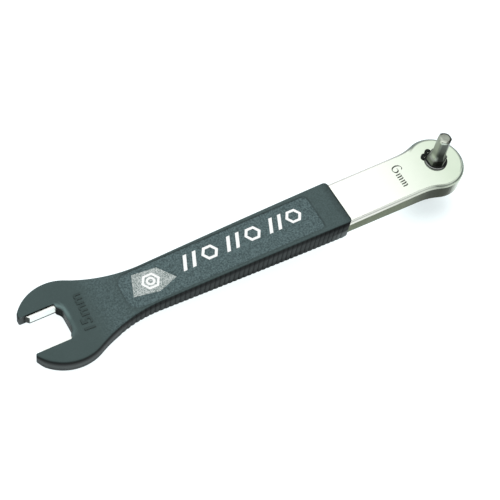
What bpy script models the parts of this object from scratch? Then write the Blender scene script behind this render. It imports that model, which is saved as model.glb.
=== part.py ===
"""Pedal wrench: forged blank with an open jaw, moulded grip and a double-ended hex bit.

The tool frame has its origin on the bit's axis at mid thickness, +X away from the jaw and
+Z out of the face that carries the small hexagon. An empty then lays the tool down as it
rests on a bench: on both jaw tips and on the lower end of the bit.
"""
import math

import bmesh
import bpy
from mathutils import Matrix, Vector

MM = 0.001
CLEARANCE = 0.3 * MM

# Forged blank: round head, flat shank, narrow tang under the grip
HEAD_RADIUS = 14.0 * MM
HEAD_FILLET = 28.0 * MM
HEAD_THICKNESS = 9.2 * MM
SHANK_WIDTH = 23.0 * MM
SHANK_THICKNESS = 7.4 * MM
EDGE_CHAMFER = 1.4 * MM
UNDER_CHAMFER = 0.4 * MM
SHANK_IN_GRIP = 4.0 * MM
STEP_FILLET = 1.5 * MM

# Open jaw, placed from the bit's axis to the centre of its round outline
JAW_REACH = 189.5 * MM
JAW_THICKNESS = 4.6 * MM
JAW_OPENING = 15.0 * MM
JAW_LEAD_IN = 1.6 * MM
JAW_TIP_CUT = 3.6 * MM
LONG_TIP_EXTRA = 0.8 * MM
THROAT_DEPTH = 1.7 * MM
THROAT_CORNER = 4.0 * MM
THROAT_COVER = 1.5 * MM
THROAT_STEEL_CORNER = 2.6 * MM
THROAT_LIP_ANGLE = 37.0

# Moulded grip
GRIP_START = 53.4 * MM
GRIP_END_WIDTH = 23.6 * MM
GRIP_NECK_WIDTH = 20.0 * MM
GRIP_NECK_FILLET = 68.0 * MM
GRIP_THICKNESS = 11.8 * MM
GRIP_JAW_RADIUS = 19.6 * MM
GRIP_JAW_THICKNESS = 6.3 * MM
GRIP_WALL = 1.6 * MM
GRIP_TIP_WALL = 2.6 * MM
GRIP_SETBACK = 1.4 * MM
GRIP_CORNER = 2.0 * MM
GRIP_TIP_CORNER = 0.7 * MM
GRIP_EDGE = 0.6 * MM
TAPER_FROM_JAW = 11.5 * MM

# Grip details: fine ribs on both sides, a shallow field on both faces
RIB_PITCH = 2.4 * MM
RIB_FIRST = 4.7 * MM
RIB_LAST = 20.5 * MM
RIB_GROOVE_RADIUS = 0.9 * MM
RIB_GROOVE_DEPTH = 0.35 * MM
FIELD_DEPTH = 0.3 * MM
FIELD_MARGIN = 2.3 * MM
FIELD_FROM_GRIP_START = 12.8 * MM
FIELD_FROM_JAW = 27.5 * MM
FIELD_NEAR_CORNER = 2.5 * MM
FIELD_FAR_CORNER = 5.0 * MM

# Hex bit
SMALL_HEX = 6.0 * MM
LARGE_HEX = 8.0 * MM
SMALL_REACH = 18.4 * MM
LARGE_REACH = 16.0 * MM
COLLAR_HEIGHT = 4.7 * MM
SHOULDER_HEIGHT = 4.0 * MM
END_CHAMFER = 0.7 * MM
END_CHAMFER_SLOPE = 0.8
END_DISH = 0.35 * MM
END_RIM = 0.55 * MM
GROOVE_PLAY = 0.3 * MM
FLANGE_RADIUS = 6.5 * MM
FLANGE_THICKNESS = 2.0 * MM

# Retaining ring in the bit's groove
RING_WALL = 1.7 * MM
RING_THICKNESS = 1.2 * MM
RING_BITE = 0.3 * MM
RING_ANGLE = 116.0
RING_GAP = 0.5 * MM
LUG_RADIUS = 1.65 * MM
LUG_REACH = 0.15 * MM
LUG_SPREAD = 17.5
LUG_HOLE_RADIUS = 0.55 * MM

# Facets
ARC_STEP = 6.0
FILLET_STEP = 4.0
TURNED_STEPS = 48
SMALL_STEPS = 16
SHOULDER_STEPS = 6
THROAT_STEP = 15.0
TAPER_STATIONS = 12
WELD = 1e-7
CUT_MARGIN = 1.0 * MM
FLAT_NORMAL = 0.7
REST_ROUNDS = 8

COS30 = math.cos(math.radians(30.0))


def clear_scene():
    for obj in list(bpy.data.objects):
        bpy.data.objects.remove(obj, do_unlink=True)


def new_collection(name):
    collection = bpy.data.collections.new(name)
    bpy.context.scene.collection.children.link(collection)
    return collection


def new_material(name, colour, roughness, metallic):
    material = bpy.data.materials.new(name)
    material.use_nodes = True
    shader = material.node_tree.nodes["Principled BSDF"]
    shader.inputs["Base Color"].default_value = (*colour, 1.0)
    shader.inputs["Roughness"].default_value = roughness
    shader.inputs["Metallic"].default_value = metallic
    material.diffuse_color = (*colour, 1.0)
    return material


def arc(centre, radius, start, end, step=ARC_STEP):
    """Points on an arc from the start angle to the end angle, both in degrees."""
    count = max(2, round(abs(end - start) / step))
    angles = [math.radians(start + (end - start) * i / count) for i in range(count + 1)]
    return [(centre[0] + radius * math.cos(a), centre[1] + radius * math.sin(a)) for a in angles]


def corner(before, point, after, radius, step=30.0):
    """The arc that rounds one corner of an outline."""
    point = Vector(point)
    back = (Vector(before) - point).normalized()
    forth = (Vector(after) - point).normalized()
    half = back.angle(forth) / 2.0
    centre = point + (back + forth).normalized() * radius / math.sin(half)
    start = point + back * radius / math.tan(half) - centre
    end = point + forth * radius / math.tan(half) - centre
    first = math.degrees(math.atan2(start.y, start.x))
    sweep = math.degrees(start.angle_signed(end))
    return arc(centre, radius, first, first - sweep, step)


def joined(half, other):
    """A closed outline from its +Y half and the mirror image of another half, joined on X."""
    return half + [(x, -y) for x, y in reversed(other) if y > WELD]


def mesh_object(name, bm, collection):
    mesh = bpy.data.meshes.new(name)
    bm.to_mesh(mesh)
    bm.free()
    obj = bpy.data.objects.new(name, mesh)
    collection.objects.link(obj)
    return obj


def prism(name, outline, half_height, collection):
    """Closed plate with the given outline, about the plane z = 0, with one face on each side."""
    curve = bpy.data.curves.new(name, "CURVE")
    curve.dimensions = "2D"
    curve.fill_mode = "BOTH"
    curve.extrude = half_height
    spline = curve.splines.new("POLY")
    spline.points.add(len(outline) - 1)
    for point, (x, y) in zip(spline.points, outline):
        point.co = (x, y, 0.0, 1.0)
    spline.use_cyclic_u = True
    source = bpy.data.objects.new(name, curve)
    collection.objects.link(source)
    graph = bpy.context.evaluated_depsgraph_get()
    mesh = bpy.data.meshes.new_from_object(source.evaluated_get(graph))
    bm = bmesh.new()
    bm.from_mesh(mesh)
    bpy.data.objects.remove(source, do_unlink=True)
    bpy.data.meshes.remove(mesh)
    bmesh.ops.remove_doubles(bm, verts=bm.verts, dist=WELD)
    for side in (1.0, -1.0):
        cap = [face for face in bm.faces if face.normal.z * side > FLAT_NORMAL]
        bmesh.ops.dissolve_faces(bm, faces=cap)
    bmesh.ops.recalc_face_normals(bm, faces=bm.faces)
    return mesh_object(name, bm, collection)


def edit(obj, change):
    """Runs a change on the object's mesh in bmesh form."""
    bm = bmesh.new()
    bm.from_mesh(obj.data)
    change(bm)
    bm.to_mesh(obj.data)
    bm.free()


def shape_faces(obj, upper, lower, stations=()):
    """Moves the two faces of a prism to the heights upper(x) and lower(x)."""
    def change(bm):
        for x in stations:
            geometry = bm.verts[:] + bm.edges[:] + bm.faces[:]
            bmesh.ops.bisect_plane(bm, geom=geometry, dist=WELD, plane_co=(x, 0, 0), plane_no=(1, 0, 0))
        for vertex in bm.verts:
            height = upper if vertex.co.z > 0 else lower
            vertex.co.z = height(vertex.co.x)
    edit(obj, change)


def bevel_rims(obj, width, segments, wanted):
    """Bevels the edges between the side walls and the two faces, where wanted(edge) holds."""
    def change(bm):
        bm.normal_update()
        rims = []
        for edge in bm.edges:
            flat = [abs(face.normal.z) > FLAT_NORMAL for face in edge.link_faces]
            if any(flat) and not all(flat) and wanted(edge):
                rims.append(edge)
        bmesh.ops.bevel(bm, geom=rims, offset=width, segments=segments, profile=0.5,
                        affect="EDGES", clamp_overlap=False)
        bmesh.ops.remove_doubles(bm, verts=bm.verts, dist=WELD)
    edit(obj, change)


def turned(name, profile, steps, collection):
    """Solid of revolution about Z; the profile runs down its outer side, top to bottom."""
    mesh = bpy.data.meshes.new(name)
    points = [(radius, 0.0, z) for radius, z in profile]
    mesh.from_pydata(points, [(i, i + 1) for i in range(len(points) - 1)], [])
    obj = bpy.data.objects.new(name, mesh)
    collection.objects.link(obj)
    screw = obj.modifiers.new("revolve", "SCREW")
    screw.steps = steps
    screw.render_steps = steps
    screw.use_merge_vertices = True
    screw.merge_threshold = 1e-6
    apply_modifiers(obj)
    return obj


def apply_modifiers(obj):
    graph = bpy.context.evaluated_depsgraph_get()
    mesh = bpy.data.meshes.new_from_object(obj.evaluated_get(graph))
    obj.modifiers.clear()
    obj.data = mesh


def combine(obj, operation, tool):
    """Applies one exact Boolean of the object with a tool, which is then a hidden cutter."""
    modifier = obj.modifiers.new(tool.name, "BOOLEAN")
    modifier.operation = operation
    modifier.object = tool
    modifier.solver = "EXACT"
    apply_modifiers(obj)
    tool.hide_render = True
    tool.display_type = "WIRE"


def disc(name, radius, low, high, centre, steps, collection):
    """Upright round or hexagonal bar between two heights."""
    bm = bmesh.new()
    bmesh.ops.create_cone(bm, cap_ends=True, segments=steps, radius1=radius, radius2=radius,
                          depth=high - low)
    bmesh.ops.translate(bm, verts=bm.verts, vec=(centre[0], centre[1], (low + high) / 2.0))
    return mesh_object(name, bm, collection)


def across_corners(across_flats):
    """Radius of the corners of a hexagon with the given size across its flats."""
    return across_flats / 2.0 / COS30


def finish_piece(obj, material, angle=30.0):
    obj.data.materials.clear()
    obj.data.materials.append(material)
    obj.data.shade_smooth()
    obj.data.set_sharp_from_angle(angle=math.radians(angle))


def jaw_side(jaw_radius, fillet, neck):
    """Angle at which the fillet meets the round jaw, and where it meets the neck's side."""
    rise = neck + fillet
    run = math.sqrt((jaw_radius + fillet) ** 2 - rise ** 2)
    return math.degrees(math.atan2(rise, run)), run - JAW_REACH


def jaw_back(jaw_radius, fillet, neck, tip):
    """Outline of the neck's fillet and of the jaw's round back, as far as its tip."""
    lean, neck_x = jaw_side(jaw_radius, fillet, neck)
    tip_angle = math.degrees(math.acos(-tip / jaw_radius))
    side = arc((neck_x, neck + fillet), fillet, -90.0, lean - 180.0, FILLET_STEP)
    return side + arc((-JAW_REACH, 0.0), jaw_radius, lean, tip_angle)[1:]


def steel_throat(grow):
    """Round corner and floor of the steel's mouth, which the grip covers."""
    face = JAW_OPENING / 2.0 - grow
    floor = THROAT_DEPTH + THROAT_COVER - JAW_REACH - grow
    front = (-JAW_REACH - GRIP_JAW_RADIUS, face)
    round_corner = corner(front, (floor, face), (floor, 0.0), THROAT_STEEL_CORNER - grow,
                          THROAT_STEP)
    return round_corner + [(floor, 0.0)]


def grip_throat():
    """Edge of the grip where it steps over the steel and then covers the steel's throat."""
    face = JAW_OPENING / 2.0
    floor = THROAT_DEPTH - JAW_REACH
    centre = (floor - THROAT_CORNER, face - THROAT_CORNER)
    cover = arc(centre, THROAT_CORNER, 90.0 - THROAT_LIP_ANGLE, 0.0, THROAT_STEP)
    step = (cover[0][0], face + GRIP_SETBACK)
    front = (-JAW_REACH - GRIP_JAW_RADIUS, step[1])
    return corner(front, step, cover[0], GRIP_TIP_CORNER) + cover + [(floor, 0.0)]


def blank_half(grow, tip_length):
    """Half outline of the forged blank, larger by grow all round."""
    head = HEAD_RADIUS + grow
    fillet = HEAD_FILLET - grow
    shank = SHANK_WIDTH / 2.0 + grow
    rise = shank + fillet
    run = math.sqrt((head + fillet) ** 2 - rise ** 2)
    lean = math.degrees(math.atan2(rise, run))
    half = arc((0.0, 0.0), head, 0.0, 180.0 - lean)
    half += arc((-run, rise), fillet, -lean, -90.0, FILLET_STEP)[1:]

    tang = GRIP_NECK_WIDTH / 2.0 - GRIP_WALL + grow
    step = -(GRIP_START + SHANK_IN_GRIP) - grow
    outer = (step, shank)
    inner = (step, tang)
    half += corner((0.0, shank), outer, inner, STEP_FILLET / 2.0 + grow)
    half += corner(outer, inner, (-JAW_REACH, tang), STEP_FILLET - grow)

    jaw_radius = GRIP_JAW_RADIUS - GRIP_WALL + grow
    tip = tip_length - GRIP_TIP_WALL + grow
    half += jaw_back(jaw_radius, GRIP_NECK_FILLET + GRIP_WALL - grow, tang, tip)
    face = JAW_OPENING / 2.0 - grow
    front = -(JAW_REACH + tip)
    half += [(front, face + JAW_LEAD_IN), (front + JAW_LEAD_IN, face)]
    return half + steel_throat(grow)


def tip_lengths():
    """Reach of the two tips beyond the jaw's centre; both are cut back from its full round."""
    short = GRIP_JAW_RADIUS - JAW_TIP_CUT
    return short, short + LONG_TIP_EXTRA


def blank_outline(grow):
    short, long = tip_lengths()
    return joined(blank_half(grow, short), blank_half(grow, long))


def blank_height(x):
    """Half thickness of the blank, which thins from the head to the grip, then to the jaw."""
    if x > -GRIP_START:
        share = min(-x, GRIP_START) / GRIP_START
        return (HEAD_THICKNESS + (SHANK_THICKNESS - HEAD_THICKNESS) * share) / 2.0
    share = min((-x - GRIP_START) / (JAW_REACH - GRIP_START), 1.0)
    return (SHANK_THICKNESS + (JAW_THICKNESS - SHANK_THICKNESS) * share) / 2.0


def blank_body(name, grow, collection):
    body = prism(name, blank_outline(grow), HEAD_THICKNESS, collection)
    shape_faces(body, lambda x: blank_height(x) + grow, lambda x: -blank_height(x) - grow,
                (-GRIP_START, -JAW_REACH))
    for side, width in ((1.0, EDGE_CHAMFER), (-1.0, UNDER_CHAMFER)):
        bevel_rims(body, width, 1, lambda edge: bare_rim(edge, side))
    return body


def bare_rim(edge, side):
    """Whether an edge lies on the bare head or shank, on the face of the given side."""
    start = max(v.co.x for v in edge.verts)
    return start > -GRIP_START and edge.verts[0].co.z * side > 0.0


def grip_half_width(x):
    """Half width of the grip at x, from the neck fillet to the grip's end."""
    neck = GRIP_NECK_WIDTH / 2.0
    neck_x = jaw_side(GRIP_JAW_RADIUS, GRIP_NECK_FILLET, neck)[1]
    if x < neck_x:
        return neck + GRIP_NECK_FILLET - math.sqrt(GRIP_NECK_FILLET ** 2 - (x - neck_x) ** 2)
    share = (x - neck_x) / (-GRIP_START - neck_x)
    return neck + (GRIP_END_WIDTH / 2.0 - neck) * share


def grip_height(x):
    """Half thickness of the grip: thin round the jaw, easing to full along the handle."""
    share = (x + JAW_REACH - TAPER_FROM_JAW) / (JAW_REACH - TAPER_FROM_JAW - GRIP_START)
    ease = math.sin(math.radians(90.0 * min(max(share, 0.0), 1.0)))
    return (GRIP_JAW_THICKNESS + (GRIP_THICKNESS - GRIP_JAW_THICKNESS) * ease) / 2.0


def taper_stations():
    start = TAPER_FROM_JAW - JAW_REACH
    length = -GRIP_START - start
    return [start + length * i / TAPER_STATIONS for i in range(TAPER_STATIONS)]


def grip_half(tip_length):
    """Half outline of the grip, which leaves the steel of the jaw's mouth bare."""
    neck = GRIP_NECK_WIDTH / 2.0
    end = -GRIP_START
    neck_x = jaw_side(GRIP_JAW_RADIUS, GRIP_NECK_FILLET, neck)[1]
    half = [(end, 0.0)]
    half += corner((end, 0.0), (end, grip_half_width(end)), (neck_x, neck), GRIP_CORNER)
    half += jaw_back(GRIP_JAW_RADIUS, GRIP_NECK_FILLET, neck, tip_length)
    outer = half.pop()
    front = -(JAW_REACH + tip_length)
    face = JAW_OPENING / 2.0 + GRIP_SETBACK
    inner = (front, face)
    half += corner(half[-1], outer, inner, GRIP_TIP_CORNER)
    half += corner(outer, inner, (0.0, face), GRIP_TIP_CORNER)
    return half + grip_throat()


def grip_outline():
    short, long = tip_lengths()
    return joined(grip_half(short), grip_half(long))


def field_cutter(name, side, collection):
    """Cutter for the shallow field on one face of the grip."""
    near = -(GRIP_START + FIELD_FROM_GRIP_START)
    far = FIELD_FROM_JAW - JAW_REACH
    near_y = grip_half_width(near) - FIELD_MARGIN
    far_y = grip_half_width(far) - FIELD_MARGIN
    half = [(near, 0.0)]
    half += corner((near, 0.0), (near, near_y), (far, far_y), FIELD_NEAR_CORNER)
    half += corner((near, near_y), (far, far_y), (far, 0.0), FIELD_FAR_CORNER)
    half += [(far, 0.0)]
    cutter = prism(name, joined(half, half), GRIP_THICKNESS, collection)
    floor = lambda x: side * (grip_height(x) - FIELD_DEPTH)
    above = lambda x: side * (grip_height(x) + GRIP_WALL)
    upper, lower = (above, floor) if side > 0 else (floor, above)
    shape_faces(cutter, upper, lower, taper_stations())
    return cutter


def rib_cutter(name, collection):
    """Round upright grooves along both sides, which leave the ribs between them."""
    first = -(GRIP_START + RIB_FIRST)
    last = RIB_LAST - JAW_REACH
    count = int((first - last) / RIB_PITCH) + 1
    bm = bmesh.new()
    for i in range(count):
        x = first - i * RIB_PITCH
        for side in (1.0, -1.0):
            y = side * (grip_half_width(x) + RIB_GROOVE_RADIUS - RIB_GROOVE_DEPTH)
            place = Matrix.Translation((x, y, 0.0))
            bmesh.ops.create_cone(bm, cap_ends=True, segments=SMALL_STEPS, matrix=place,
                                  radius1=RIB_GROOVE_RADIUS, radius2=RIB_GROOVE_RADIUS,
                                  depth=GRIP_THICKNESS + 2.0 * CUT_MARGIN)
    return mesh_object(name, bm, collection)


def make_wrench_plate(parts, cutters):
    plate = blank_body("wrench_plate", 0.0, parts)
    corner_radius = across_corners(LARGE_HEX + 2.0 * CLEARANCE)
    hole = disc("bit_hole", corner_radius, -HEAD_THICKNESS, HEAD_THICKNESS, (0.0, 0.0), 6, cutters)
    combine(plate, "DIFFERENCE", hole)
    finish_piece(plate, new_material("nickel_plate", (0.80, 0.80, 0.76), 0.28, 1.0))
    return plate


def make_grip_sleeve(parts, cutters):
    sleeve = prism("grip_sleeve", grip_outline(), GRIP_THICKNESS, parts)
    shape_faces(sleeve, grip_height, lambda x: -grip_height(x), taper_stations())
    bevel_rims(sleeve, GRIP_EDGE, 2, lambda edge: True)
    combine(sleeve, "DIFFERENCE", blank_body("blank_space", CLEARANCE, cutters))
    combine(sleeve, "DIFFERENCE", field_cutter("upper_field", 1.0, cutters))
    combine(sleeve, "DIFFERENCE", field_cutter("lower_field", -1.0, cutters))
    combine(sleeve, "DIFFERENCE", rib_cutter("rib_grooves", cutters))
    finish_piece(sleeve, new_material("moulded_rubber", (0.045, 0.06, 0.058), 0.62, 0.0))
    return sleeve


def bit_heights():
    """Named heights along the bit, in the tool frame."""
    face = HEAD_THICKNESS / 2.0
    ring_low = face + CLEARANCE
    return {
        "top": face + SMALL_REACH,
        "collar": face + COLLAR_HEIGHT,
        "shoulder": face + COLLAR_HEIGHT + SHOULDER_HEIGHT,
        "ring_low": ring_low,
        "ring_high": ring_low + RING_THICKNESS,
        "flange_high": -face - CLEARANCE,
        "flange_low": -face - CLEARANCE - FLANGE_THICKNESS,
        "bottom": -face - LARGE_REACH,
    }


def ring_inner_radius():
    return LARGE_HEX / 2.0 - RING_BITE


def make_hex_bit(parts, cutters):
    z = bit_heights()
    small = across_corners(SMALL_HEX)
    large = across_corners(LARGE_HEX)
    profile = [(0.0, z["top"]), (small, z["top"])]
    for i in range(SHOULDER_STEPS + 1):
        turn = math.radians(90.0 * (1.0 - i / SHOULDER_STEPS))
        radius = large - (large - small) * math.sin(turn)
        profile.append((radius, z["collar"] + SHOULDER_HEIGHT * (1.0 - math.cos(turn))))
    profile += [(large, z["bottom"]), (0.0, z["bottom"])]
    bit = turned("hex_bit", profile, 6, parts)
    turn = Matrix.Rotation(math.radians(30.0), 3, "Z")
    edit(bit, lambda bm: bmesh.ops.rotate(bm, verts=bm.verts, matrix=turn))

    outside = large + CUT_MARGIN
    groove = ring_inner_radius() - CLEARANCE
    small_face = small - END_CHAMFER
    large_face = large - END_CHAMFER
    small_foot = outside - small_face
    large_foot = outside - large_face
    envelope = [
        (0.0, z["top"] - END_DISH),
        (small_face - END_RIM, z["top"]),
        (small_face, z["top"]),
        (outside, z["top"] - small_foot * END_CHAMFER_SLOPE),
        (outside, z["ring_high"] + GROOVE_PLAY),
        (groove, z["ring_high"] + GROOVE_PLAY),
        (groove, z["ring_low"] - GROOVE_PLAY),
        (outside, z["ring_low"] - GROOVE_PLAY),
        (outside, z["bottom"] + large_foot * END_CHAMFER_SLOPE),
        (large_face, z["bottom"]),
        (0.0, z["bottom"]),
    ]
    combine(bit, "INTERSECT", turned("bit_envelope", envelope, TURNED_STEPS, cutters))
    flange = disc("bit_flange", FLANGE_RADIUS, z["flange_low"], z["flange_high"], (0.0, 0.0),
                  TURNED_STEPS, cutters)
    combine(bit, "UNION", flange)
    finish_piece(bit, new_material("tool_steel", (0.42, 0.43, 0.42), 0.32, 1.0))
    return bit


def make_retaining_ring(parts, cutters):
    z = bit_heights()
    low, high = z["ring_low"], z["ring_high"]
    inner = ring_inner_radius()
    outer = inner + RING_WALL
    profile = [(inner, low), (inner, high), (outer, high), (outer, low), (inner, low)]
    ring = turned("retaining_ring", profile, TURNED_STEPS, parts)
    reach = outer + LUG_REACH
    centres = []
    for side in (1.0, -1.0):
        angle = math.radians(RING_ANGLE + side * LUG_SPREAD)
        centres.append((reach * math.cos(angle), reach * math.sin(angle)))
    for index, centre in enumerate(centres):
        lug = disc(f"lug_{index}", LUG_RADIUS, low, high, centre, SMALL_STEPS, cutters)
        combine(ring, "UNION", lug)
    bm = bmesh.new()
    bmesh.ops.create_cube(bm, size=1.0)
    length = reach + LUG_RADIUS
    size = (length, RING_GAP, RING_THICKNESS + 2.0 * CUT_MARGIN)
    bmesh.ops.scale(bm, verts=bm.verts, vec=size)
    bmesh.ops.translate(bm, verts=bm.verts, vec=(length / 2.0 + LUG_RADIUS, 0.0, (low + high) / 2.0))
    turn = Matrix.Rotation(math.radians(RING_ANGLE), 3, "Z")
    bmesh.ops.rotate(bm, verts=bm.verts, matrix=turn)
    combine(ring, "DIFFERENCE", mesh_object("ring_gap", bm, cutters))
    for index, centre in enumerate(centres):
        hole = disc(f"lug_hole_{index}", LUG_HOLE_RADIUS, low - CUT_MARGIN, high + CUT_MARGIN,
                    centre, SMALL_STEPS, cutters)
        combine(ring, "DIFFERENCE", hole)
    finish_piece(ring, new_material("black_oxide", (0.02, 0.021, 0.021), 0.4, 0.6))
    return ring


def lowest(points, tilt):
    """The point that lies lowest when the head end is raised by the tilt."""
    return min(points, key=lambda p: p.x * math.sin(tilt) + p.z * math.cos(tilt))


def lay_down(pieces):
    """Parents the pieces to an empty that rests the tool with its box centred on the origin."""
    jaw = [v.co for v in pieces["grip_sleeve"].data.vertices if v.co.x < -JAW_REACH / 2.0]
    bit = [v.co for v in pieces["hex_bit"].data.vertices]
    tilt = 0.0
    for _ in range(REST_ROUNDS):
        a = lowest(jaw, tilt)
        b = lowest(bit, tilt)
        tilt = math.atan2(a.z - b.z, b.x - a.x)
    frame = bpy.data.objects.new("tool_frame", None)
    bpy.context.scene.collection.objects.link(frame)
    turn = Matrix.Rotation(-tilt, 4, "Y")
    corners = [turn @ v.co for obj in pieces.values() for v in obj.data.vertices]
    low = Vector([min(p[i] for p in corners) for i in range(3)])
    high = Vector([max(p[i] for p in corners) for i in range(3)])
    middle = (low + high) / 2.0
    frame.rotation_euler = (0.0, -tilt, 0.0)
    frame.location = (-middle.x, -middle.y, -low.z)
    for obj in pieces.values():
        obj.parent = frame


def build():
    clear_scene()
    parts = new_collection("pedal_wrench")
    cutters = new_collection("cutters")
    makers = (make_wrench_plate, make_grip_sleeve, make_hex_bit, make_retaining_ring)
    pieces = {}
    for maker in makers:
        obj = maker(parts, cutters)
        pieces[obj.name] = obj
    lay_down(pieces)
    bpy.context.view_layer.update()


build()
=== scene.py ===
import math

import bmesh
import bpy
import numpy as np
from mathutils import Matrix, Vector


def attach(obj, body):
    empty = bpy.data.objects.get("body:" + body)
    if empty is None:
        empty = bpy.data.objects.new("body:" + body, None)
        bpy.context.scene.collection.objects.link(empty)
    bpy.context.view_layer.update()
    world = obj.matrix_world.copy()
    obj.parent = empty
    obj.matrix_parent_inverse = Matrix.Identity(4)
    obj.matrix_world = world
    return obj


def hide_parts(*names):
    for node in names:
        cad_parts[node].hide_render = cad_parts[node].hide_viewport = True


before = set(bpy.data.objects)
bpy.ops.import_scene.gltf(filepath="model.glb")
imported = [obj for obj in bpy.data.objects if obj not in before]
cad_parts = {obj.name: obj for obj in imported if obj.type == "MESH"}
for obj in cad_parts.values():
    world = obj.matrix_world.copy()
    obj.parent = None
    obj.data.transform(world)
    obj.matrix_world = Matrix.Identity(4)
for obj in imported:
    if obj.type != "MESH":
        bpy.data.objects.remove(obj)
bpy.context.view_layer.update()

MM = 0.001

# How the tool lies on the bench: raised towards the head, then moved (millimetres)
TILT = math.atan2(0.0861582, 0.9962814)
TOOL_PLACE = (95.7115, -0.0024, 20.8610)

# The tool's upward direction on the bench, and how high its middle plane lies along it (metres)
TOOL_UP = (-math.sin(TILT), 0.0, math.cos(TILT))
TOOL_LEVEL = MM * (TOOL_UP[0] * TOOL_PLACE[0] + TOOL_UP[2] * TOOL_PLACE[2])

# Plate, as in the part
JAW_REACH = 189.5
JAW_OPENING = 15.0
THROAT_DEPTH = 1.7
THROAT_CORNER = 4.0
THROAT_LIP_ANGLE = 37.0
HEAD_THICKNESS = 9.2
SHANK_THICKNESS = 7.4

# Grip, as in the part
GRIP_START = 53.4
GRIP_END_WIDTH = 23.6
GRIP_NECK_WIDTH = 20.0
GRIP_NECK_FILLET = 68.0
GRIP_THICKNESS = 11.8
GRIP_JAW_RADIUS = 19.6
GRIP_JAW_THICKNESS = 6.3
GRIP_SETBACK = 1.4
GRIP_CORNER = 2.0
GRIP_TIP_CORNER = 0.7
JAW_TIP_CUT = 3.6
LONG_TIP_EXTRA = 0.8
TAPER_FROM_JAW = 11.5
RIB_PITCH = 2.4
RIB_FIRST = 4.7
RIB_LAST = 20.5
FIELD_DEPTH = 0.3
FIELD_MARGIN = 2.3
FIELD_FROM_GRIP_START = 12.8
FIELD_FROM_JAW = 27.5
FIELD_NEAR_CORNER = 2.5
FIELD_FAR_CORNER = 5.0

# Finer shape of the moulded grip. The walls flare out from one depth below the face to another
GRIP_RIM = 0.6
LOW_RIM = 0.35
JAW_FLARE = 0.5
HANDLE_FLARE = 0.2
FLARE_DEPTHS = (1.3, 3.0)
LIP_CORNER = 0.5
LIP_SLANT = 0.5
RIB_DEPTH = 0.5
RIB_FADE = 1.2
RIB_ROUNDNESS = 0.8
RIB_FOOT_FADE = (0.9, 0.5, 0.0)
RIB_TOP_BAND = 0.9
FIELD_WALL = 0.3
# Distances from the jaw's centre between which the handle turns into the jaw
NECK_FROM_JAW = (28.0, 18.0)
# Angle on the round jaw from which the skin ends at the mouth's edge, not at the axis
MOUTH_ANGLE = 74.0
# Angle by which the round jaw stops short of the tip's corner
TIP_ANGLE_LEFT = 2.5

# Distance from the bit up to which the skin's rows lie square to the axis; beyond it they fan
# in towards the throat
AXIS_KEY = 160.0

# Points and rows of the grip's skin
CORNER_POINTS = 13
COVER_POINTS = 16
FILLET_POINTS = 60
JAW_POINTS = 120
RIM_STEPS = 4
WALL_STEPS = 10
RIB_STEPS = 10
ROWS_TO_RIBS = 22
ROWS_TO_MOUTH = 26
ROWS_ROUND_MOUTH = 110
BORDER_SHARES = (0.0, 0.4, 0.72)
FACE_SHARES = (0.06, 0.13, 0.21, 0.3, 0.41, 0.55, 0.72, 0.82, 0.88, 0.93, 0.97, 1.0)

# Hex bit, as in the part
SMALL_HEX = 6.0
LARGE_HEX = 8.0
BIT_TOP = 23.0
BIT_SHOULDER = 13.3
BIT_COLLAR = 9.3
BIT_BOTTOM = -20.6
RING_LOW = 4.9
RING_HIGH = 6.1
GROOVE_PLAY = 0.3
GROOVE_RADIUS = 3.4
FLANGE_HIGH = -4.9
FLANGE_LOW = -6.9
FLANGE_RADIUS = 6.5
END_CHAMFER = 0.7
END_CHAMFER_SLOPE = 0.8
END_DISH = 0.35
END_RIM = 0.55
FLANGE_EDGE = 0.25

NECK_HALF = GRIP_NECK_WIDTH / 2.0
NECK_RUN = math.sqrt((GRIP_JAW_RADIUS + GRIP_NECK_FILLET) ** 2
                     - (NECK_HALF + GRIP_NECK_FILLET) ** 2)
NECK_X = NECK_RUN - JAW_REACH
NECK_LEAN = math.degrees(math.atan2(NECK_HALF + GRIP_NECK_FILLET, NECK_RUN))
FIELD_NEAR = -(GRIP_START + FIELD_FROM_GRIP_START)
FIELD_FAR = FIELD_FROM_JAW - JAW_REACH
THROAT_X = THROAT_DEPTH - JAW_REACH

# Middle of the head's upper face, the direction square to the shank's tapered face, and how
# far along that direction the thin dark line on its chamfer lies (metres)
HEAD_CENTRE = tuple(MM * (TOOL_PLACE[i] + TOOL_UP[i] * HEAD_THICKNESS / 2.0) for i in range(3))
TAPER = (HEAD_THICKNESS - SHANK_THICKNESS) / 2.0 / GRIP_START
PLATE_SLANT = (TOOL_UP[0] - TAPER * TOOL_UP[2], 0.0, TOOL_UP[2] + TAPER * TOOL_UP[0])
CHAMFER_LINE_DEPTH = 0.65
CHAMFER_LINE_LEVEL = MM * (PLATE_SLANT[0] * TOOL_PLACE[0] + PLATE_SLANT[2] * TOOL_PLACE[2]
                      + HEAD_THICKNESS / 2.0 - CHAMFER_LINE_DEPTH)

# Everything on the bench with a smaller X is the jaw and its side of the handle (metres)
JAW_SIDE = -0.06


# ---- shapes ----

def to_bench(points):
    """Row-frame metres from tool-frame millimetres: turned by the tilt about Y, then moved."""
    x, y, z = np.asarray(points, float).reshape(-1, 3).T
    c, s = math.cos(TILT), math.sin(TILT)
    turned = np.column_stack((c * x - s * z, y, s * x + c * z))
    return (turned + np.array(TOOL_PLACE)) * MM


def arc(centre, radius, start, end, count):
    """Points at equal angles on a circle, from one angle to another in degrees."""
    angle = np.radians(np.linspace(start, end, count))
    return np.column_stack((centre[0] + radius * np.cos(angle), centre[1] + radius * np.sin(angle)))


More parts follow.
